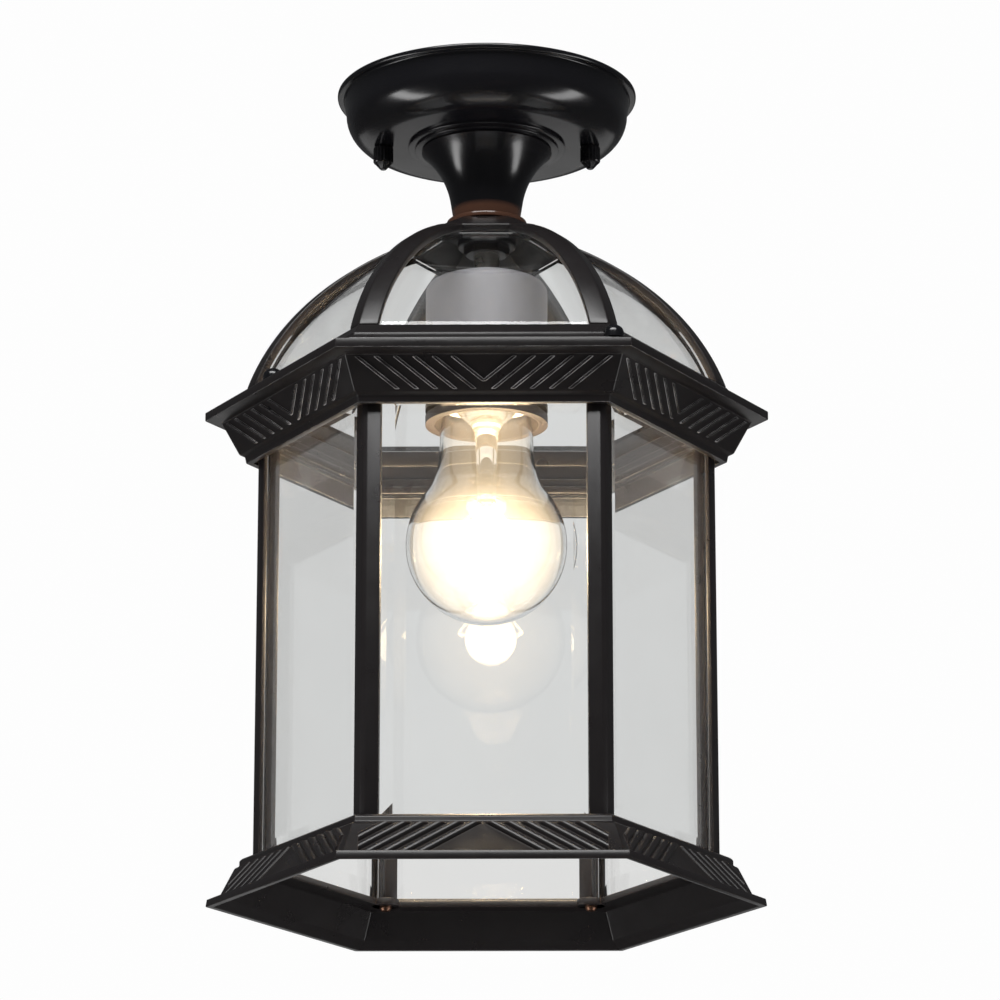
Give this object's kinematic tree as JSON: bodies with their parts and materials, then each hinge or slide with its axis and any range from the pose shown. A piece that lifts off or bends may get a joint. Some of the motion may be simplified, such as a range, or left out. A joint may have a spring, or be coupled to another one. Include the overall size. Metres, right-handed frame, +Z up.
{
  "type": "hexagonal porch ceiling lantern",
  "caption": "Hexagonal black metal ceiling lantern: glazed dome and sides on a flared neck, herringbone cornice, reeded base ring open below, clear screw-in lamp.",
  "frame": {"origin": "centre of the canopy's ceiling face, on the stem's axis, in the plane of the box strap's upper face", "axes": "+Z up towards the ceiling along the stem; +X through a corner of the hexagon, along the line of the two cap nuts; -Y out of the flat side that faces the viewer"},
  "size_m": [0.2118, 0.1834, 0.3151],
  "materials": {
    "black_metal": "satin",
    "cast_black": "satin",
    "plated_steel": "satin",
    "cup_metal": "satin",
    "clear_glass": "gloss",
    "holder_ceramic": "gloss",
    "contact_brass": "satin",
    "cap_aluminium": "satin",
    "filament": "emissive"
  },
  "bodies": {
    "lantern": {"bottom_ring": "cast_black", "box_strap": "plated_steel", "canopy": "black_metal", "canopy_strap": "plated_steel", "canopy_stud_left": "plated_steel", "canopy_stud_right": "plated_steel", "centre_contact": "contact_brass", "cornice": "cast_black", "crown": "cast_black", "crown_nut": "plated_steel", "cup_nut": "plated_steel", "dome_pane_1": "clear_glass", "dome_pane_2": "clear_glass", "dome_pane_3": "clear_glass", "dome_pane_4": "clear_glass", "dome_pane_5": "clear_glass", "dome_pane_6": "clear_glass", "dome_rib_1": "cast_black", "dome_rib_2": "cast_black", "dome_rib_3": "cast_black", "dome_rib_4": "cast_black", "dome_rib_5": "cast_black", "dome_rib_6": "cast_black", "dome_ring": "cast_black", "dome_screw_1": "plated_steel", "dome_screw_2": "plated_steel", "dome_screw_3": "plated_steel", "lampholder": "holder_ceramic", "neck": "cast_black", "neck_collar": "cast_black", "neck_washer": "black_metal", "post_1": "cast_black", "post_2": "cast_black", "post_3": "cast_black", "post_4": "cast_black", "post_5": "cast_black", "post_6": "cast_black", "post_screws_lower": "plated_steel", "post_screws_upper": "plated_steel", "screw_shell": "contact_brass", "shade_ring": "cup_metal", "side_pane_1": "clear_glass", "side_pane_2": "clear_glass", "side_pane_3": "clear_glass", "side_pane_4": "clear_glass", "side_pane_5": "clear_glass", "side_pane_6": "clear_glass", "socket_cup": "cup_metal", "stem_tube": "plated_steel", "strap_locknut": "plated_steel"},
    "lamp": {"lamp_glass": "clear_glass", "lamp_cap": "cap_aluminium", "lamp_stem": "clear_glass", "lamp_filament": "filament"},
    "cap_nut_l": {"cap_nut_left": "black_metal"},
    "cap_nut_r": {"cap_nut_right": "black_metal"}
  },
  "joints": [
    {"name": "lamp_out", "type": "slide", "parent": "lantern", "child": "lamp", "axis": [0, 0, -1], "range_m": [0, 0.23]},
    {"name": "cap_nut_left_turn", "type": "hinge", "parent": "lantern", "child": "cap_nut_l", "pos_m": [-0.0395, 0, -0.025], "axis": [0, 0, 1], "continuous": true},
    {"name": "cap_nut_right_turn", "type": "hinge", "parent": "lantern", "child": "cap_nut_r", "pos_m": [0.0395, 0, -0.025], "axis": [0, 0, 1], "continuous": true}
  ]
}
